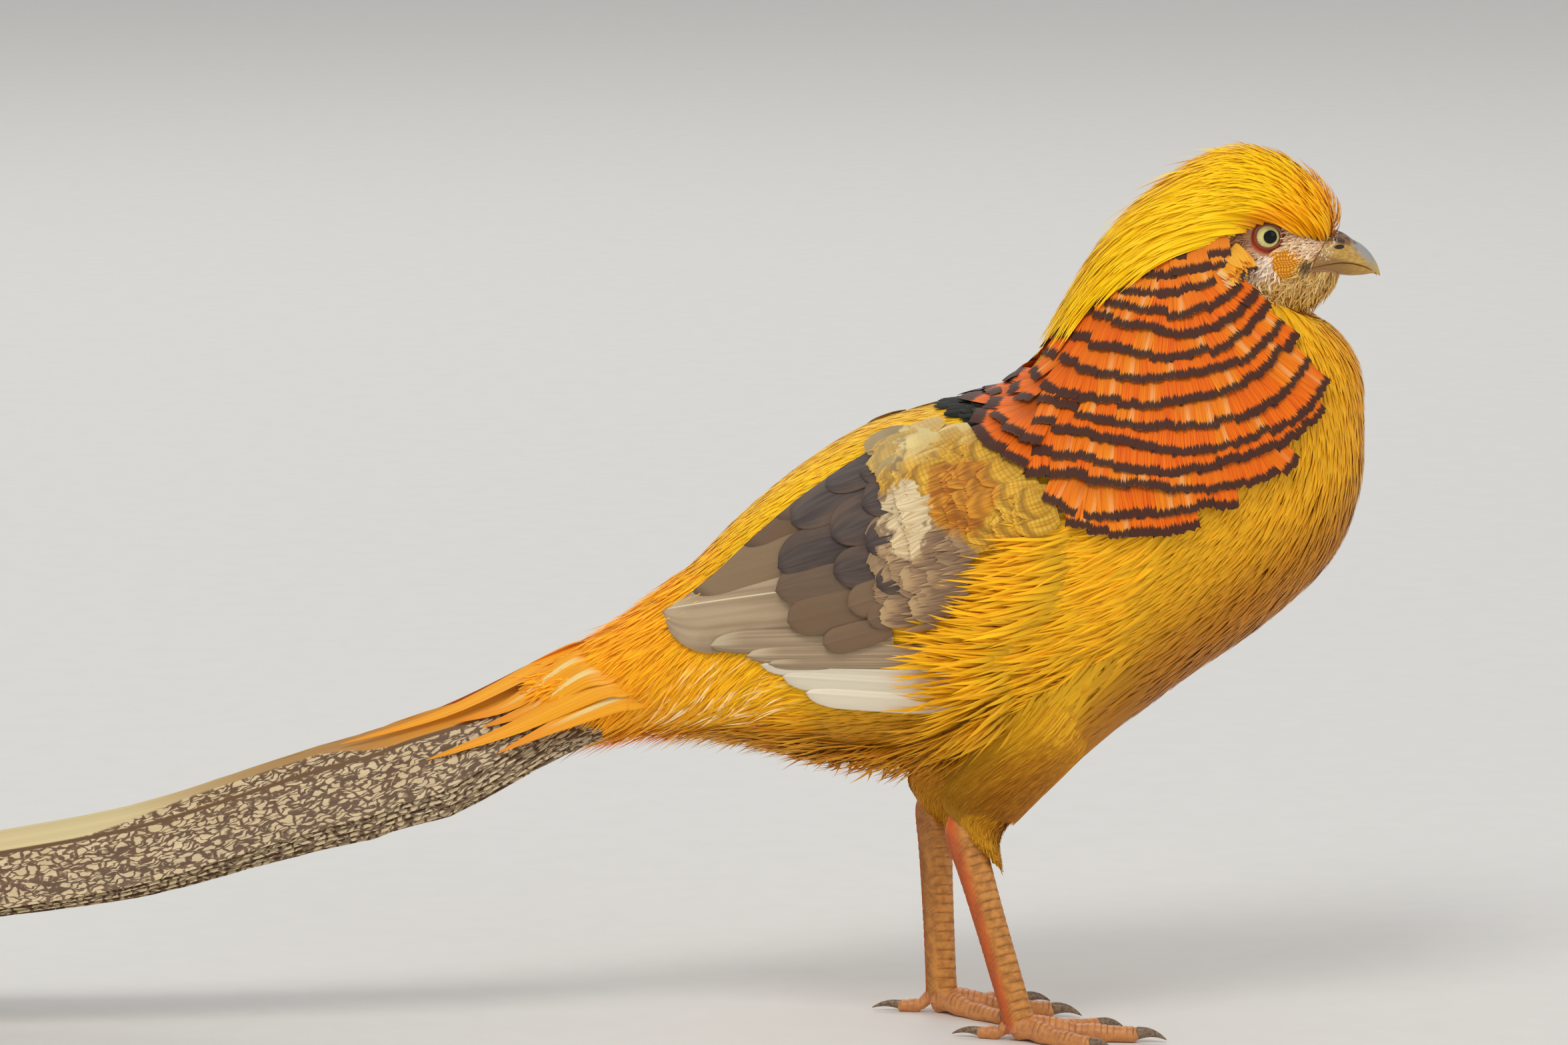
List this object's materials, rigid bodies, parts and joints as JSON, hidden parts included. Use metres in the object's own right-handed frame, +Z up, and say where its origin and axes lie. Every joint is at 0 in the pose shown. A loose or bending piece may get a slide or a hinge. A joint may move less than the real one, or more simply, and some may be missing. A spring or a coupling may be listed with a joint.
{
  "type": "golden pheasant cock, yellow colour form",
  "caption": "Life-size standing cock pheasant with a silky crest, a barred neck cape, folded wings and a long tail; a still model that rests on its own feet.",
  "frame": {"origin": "middle of the lowest side of the whole bird's box, on the floor that the feet stand on", "axes": "+X towards the bill, along the tail and body; +Z up; the bird's left is +Y"},
  "size_m": [0.9344, 0.1202, 0.3343],
  "materials": {
    "bill_horn": "satin horn, olive yellow",
    "claw_horn": "satin horn",
    "crest_yellow": "silky hair-like feathers, golden yellow",
    "eye": "clear glossy ball, pale yellow iris",
    "leg_scales": "scaled skin, ochre with an orange-red stripe",
    "face_down": "short buff down on thin skin, red-orange bare skin round the eye",
    "mantle_green": "short dark green-black feathers",
    "body_gold": "soft feathers, golden yellow to ochre",
    "ruff_orange": "square-ended orange feathers with dark bars",
    "rump_gold": "loose hair-like feathers, yellow with orange plumes",
    "tail_mottled": "long tail feathers, buff mottled with brown",
    "wing_brown": "flight feathers, slate brown and tan"
  },
  "bodies": {
    "root": {"bill_lower": "bill_horn", "bill_upper": "bill_horn", "claw_hind_left": "claw_horn", "claw_hind_right": "claw_horn", "claw_inner_left": "claw_horn", "claw_inner_right": "claw_horn", "claw_middle_left": "claw_horn", "claw_middle_right": "claw_horn", "claw_outer_left": "claw_horn", "claw_outer_right": "claw_horn", "crest": "crest_yellow", "eye_left": "eye", "eye_right": "eye", "foot_left": "leg_scales", "foot_right": "leg_scales", "head": "face_down", "mantle": "mantle_green", "neck": "body_gold", "ruff_left": "ruff_orange", "ruff_right": "ruff_orange", "rump": "rump_gold", "shank_left": "leg_scales", "shank_right": "leg_scales", "tail": "tail_mottled", "thigh_left": "body_gold", "thigh_right": "body_gold", "torso": "body_gold", "wing_left": "wing_brown", "wing_right": "wing_brown"}
  },
  "joints": []
}
